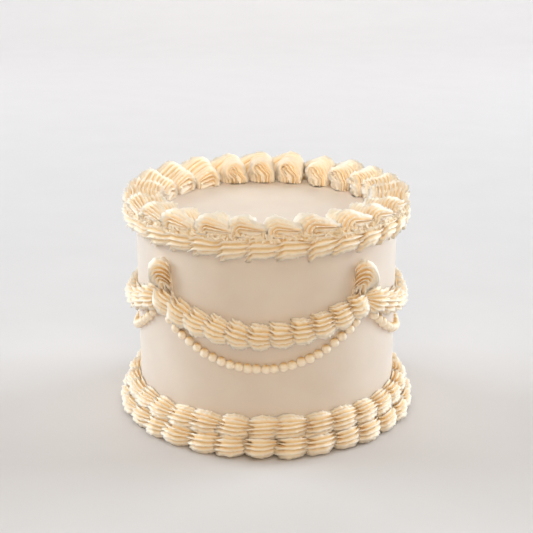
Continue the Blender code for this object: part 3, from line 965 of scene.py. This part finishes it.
def drop(number, azimuth, hand):
    rng = np.random.default_rng(400 + number)
    phase = np.linspace(0, DROP_RIDGES, DROP_RIDGES * RIDGE_SAMPLES + 1)[None, :]
    share = np.linspace(0, 1, DROP_STEPS)[:, None] ** 1.3
    shape = (DROP_STEPS, phase.shape[1])
    crest = ridge_height(phase) * np.ones(shape)
    wander = DROP_WANDER * soft_noise(rng, shape, (4, DROP_RIDGES))
    even = phase / DROP_RIDGES + wander * np.sin(np.pi * phase / DROP_RIDGES)
    level = INNERMOST + (OUTERMOST - INNERMOST) * even
    at_comb, at_far_end = np.exp(-(share / COMB_SHARE) ** 2), np.exp(-((1 - share) / FAR_SHARE) ** 2)
    way = share - COMB_JAGS * per_ridge(rng, phase, *COMB_JAG_SIZES) * crest * at_comb
    way = way + FAR_JAGS * per_ridge(rng, phase, *FAR_JAG_SIZES) * crest * at_far_end
    along, up = arches(level, way)
    across = (1 - np.abs(2 * even - 1) ** 2.4) ** 0.5
    lengthwise = 0.25 + 0.75 * np.sin(np.pi / 2 * between(share, 0, HIGHEST_AT))
    lengthwise = lengthwise * (1 - 0.35 * between(share, HIGHEST_AT, 1) ** 1.5)
    lengthwise = lengthwise * (1 - 0.9 * between(share, END_FALLS_FROM, 1) ** 2) ** 0.5
    grid = np.stack([along, up, DROP_DEPTH * across * lengthwise], axis=-1)
    relief = (DROP_RELIEF - DROP_RELIEF_LOST * share) * RIDGE_DEPTH * per_ridge(rng, phase, *DROP_DEPTHS)
    relief = relief * np.minimum(1, 2 * across)
    ragged = 1 + DROP_RAGGED * soft_noise(rng, shape, (16, DROP_RIDGES))
    grid = push_out(grid, -relief * (crest * ragged - PLAIN_LEVEL))
    radius = np.maximum(WALL - RIM_INSIDE_WALL, WALL + GAP + grid[..., 2] - DROP_SUNK)
    points = place(azimuth + degrees_for(hand * grid[..., 0]), radius, grid[..., 1])
    # Painted light: the colour level rises towards the drop's innermost and outermost arches, so its rims are
    # painted paler than their grooves would be.
    painted_light_level = np.minimum(crest + 0.6 * (1 - across), 1)
    piece = build(f"drop_shell_{number}", [(points, painted_light_level, DROP_TONE)], PIPED)
    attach(piece, "root")
    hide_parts(f"drop_{number}")


for index, knot in enumerate(KNOTS):
    drop(index + 1, knot, -1 if index % 2 else 1)

# %% [markdown]
# ## Floor
# The cake stands on a sheet of plain pale paper that bends up into a backdrop far behind it, so
# no edge shows. The sheet is a few rows of points in metres, from front to back, and lies a
# fifth of a millimetre low, so that it stays clear of the cake's underside.

# %% Floor and backdrop
FLOOR_HALF_WIDTH = 3.0
FLOOR_FRONT = -2.5
BEND_STARTS, BEND_RADIUS = 1.6, 0.8
BACKDROP_TOP = 3.2
FLOOR_LOW = 0.2 * MM


def floor_material():
    material = bpy.data.materials.new("Matt studio paper")
    material.use_nodes = True
    tree = material.node_tree
    shader = tree.nodes["Principled BSDF"]
    shader.inputs["Roughness"].default_value = 0.7
    # Ninety patches each way over the whole sheet, so each is 50 to 70 mm wide.
    fibre = add_node(tree, "ShaderNodeTexNoise", values={"Scale": 90.0, "Detail": 5.0})
    tint = add_node(tree, "ShaderNodeValToRGB", links={"Fac": fibre.outputs["Fac"]})
    tint.color_ramp.elements[0].color = colour("#D3CFCE")
    tint.color_ramp.elements[1].color = colour("#D9D5D4")
    tree.links.new(tint.outputs["Color"], shader.inputs["Base Color"])
    return material


def studio_floor():
    bend = np.radians(np.linspace(0, 90, 12))
    level = [FLOOR_FRONT, -1.0, 0.0, 1.0]
    depth = np.concatenate([level, BEND_STARTS + BEND_RADIUS * np.sin(bend), [BEND_STARTS + BEND_RADIUS]])
    height = np.concatenate([np.zeros(len(level)), BEND_RADIUS * (1 - np.cos(bend)), [BACKDROP_TOP]])
    side = (-FLOOR_HALF_WIDTH, FLOOR_HALF_WIDTH)
    points = [(x, y, z - FLOOR_LOW) for y, z in zip(depth, height) for x in side]
    faces = [(2 * i, 2 * i + 1, 2 * i + 3, 2 * i + 2) for i in range(len(depth) - 1)]
    mesh = bpy.data.meshes.new("studio_floor")
    mesh.from_pydata(points, [], faces)
    mesh.shade_smooth()
    mesh.materials.append(floor_material())
    made = bpy.data.objects.new("studio_floor", mesh)
    bpy.context.scene.collection.objects.link(made)
    return made


floor = studio_floor()
print("floor:", [round(side, 2) for side in floor.dimensions], "m")

# %% [markdown]
# ## Light
# Cool daylight comes from both sides and a little behind, so the wall is bright at its edges and
# falls off to a warm tan in front, where only a weak warm fill reaches it. Another lamp stands in
# for the sky above, and one lights the backdrop. All these are over a metre wide, which keeps the
# shadows soft. The far scrolls face the camera and would be dull, so a small gold card above the
# camera's view throws light back onto them. The world stands in for the yellow glow that pale
# butter throws into its own grooves.

# %% Lights
MIDDLE = (0, 0, 0.08)
DAYLIGHT = "#E6F4FF"
GLOW = 0.14


def soft_light(name, spot, aim, size, watts, tint, spread=180):
    data = bpy.data.lights.new(name, "AREA")
    data.shape = "SQUARE"
    data.size = size
    data.spread = math.radians(spread)
    data.energy = watts
    data.color = colour(tint)[:3]
    light = bpy.data.objects.new(name, data)
    light.location = spot
    towards = [aim[i] - spot[i] for i in range(3)]
    light.rotation_euler = Vector(towards).to_track_quat("-Z", "Y").to_euler()
    bpy.context.scene.collection.objects.link(light)


soft_light("window_left", (-2.2, 0.75, 0.8), MIDDLE, size=1.5, watts=62, tint=DAYLIGHT)
soft_light("window_right", (2.2, 0.85, 0.8), MIDDLE, size=1.5, watts=67, tint=DAYLIGHT)
soft_light("sky_above", (0.0, -0.5, 1.5), (0, 0, 0.1), size=1.2, watts=8.2, tint="#F9FCFF")
soft_light("backdrop_wash", (0.0, 1.5, 1.5), (0, 2.1, 0.2), size=1.2, watts=11.4, tint="#FFF9FA")
soft_light("room_in_front", (0.0, -1.6, 0.8), (0, 0, 0.07), size=1.2, watts=11.2, tint="#FFEFD6")
soft_light("gold_card", (0.0, -0.3, 0.38), (0, 0.09, 0.17), size=0.12, watts=0.026, tint="#FFF0D0",
           spread=34)
world = bpy.data.worlds.new("studio")
world.use_nodes = True
world.node_tree.nodes["Background"].inputs["Color"].default_value = colour("#FFE6B4")
world.node_tree.nodes["Background"].inputs["Strength"].default_value = GLOW
bpy.context.scene.world = world
bpy.context.scene.view_settings.view_transform = "Standard"
print("lamps:", {lamp.name: round(lamp.energy, 3) for lamp in bpy.data.lights})

# %% [markdown]
# ## Camera
# A long lens about 0.8 m away keeps the cake's sides nearly upright. It looks down just enough
# to show the plain top inside the ring of scrolls.

# %% Camera
FOCAL_LENGTH = 82.6
LOOKS_DOWN = 18.06

lens = bpy.data.cameras.new("camera")
lens.sensor_width = 36.0
lens.lens = FOCAL_LENGTH
camera = bpy.data.objects.new("camera", lens)
camera.location = (0.0, -0.7268, 0.3248)
camera.rotation_euler = (math.radians(90 - LOOKS_DOWN), 0.0, 0.0)
bpy.context.scene.collection.objects.link(camera)
bpy.context.scene.camera = camera
print("camera at", [round(at, 3) for at in camera.location], "m")
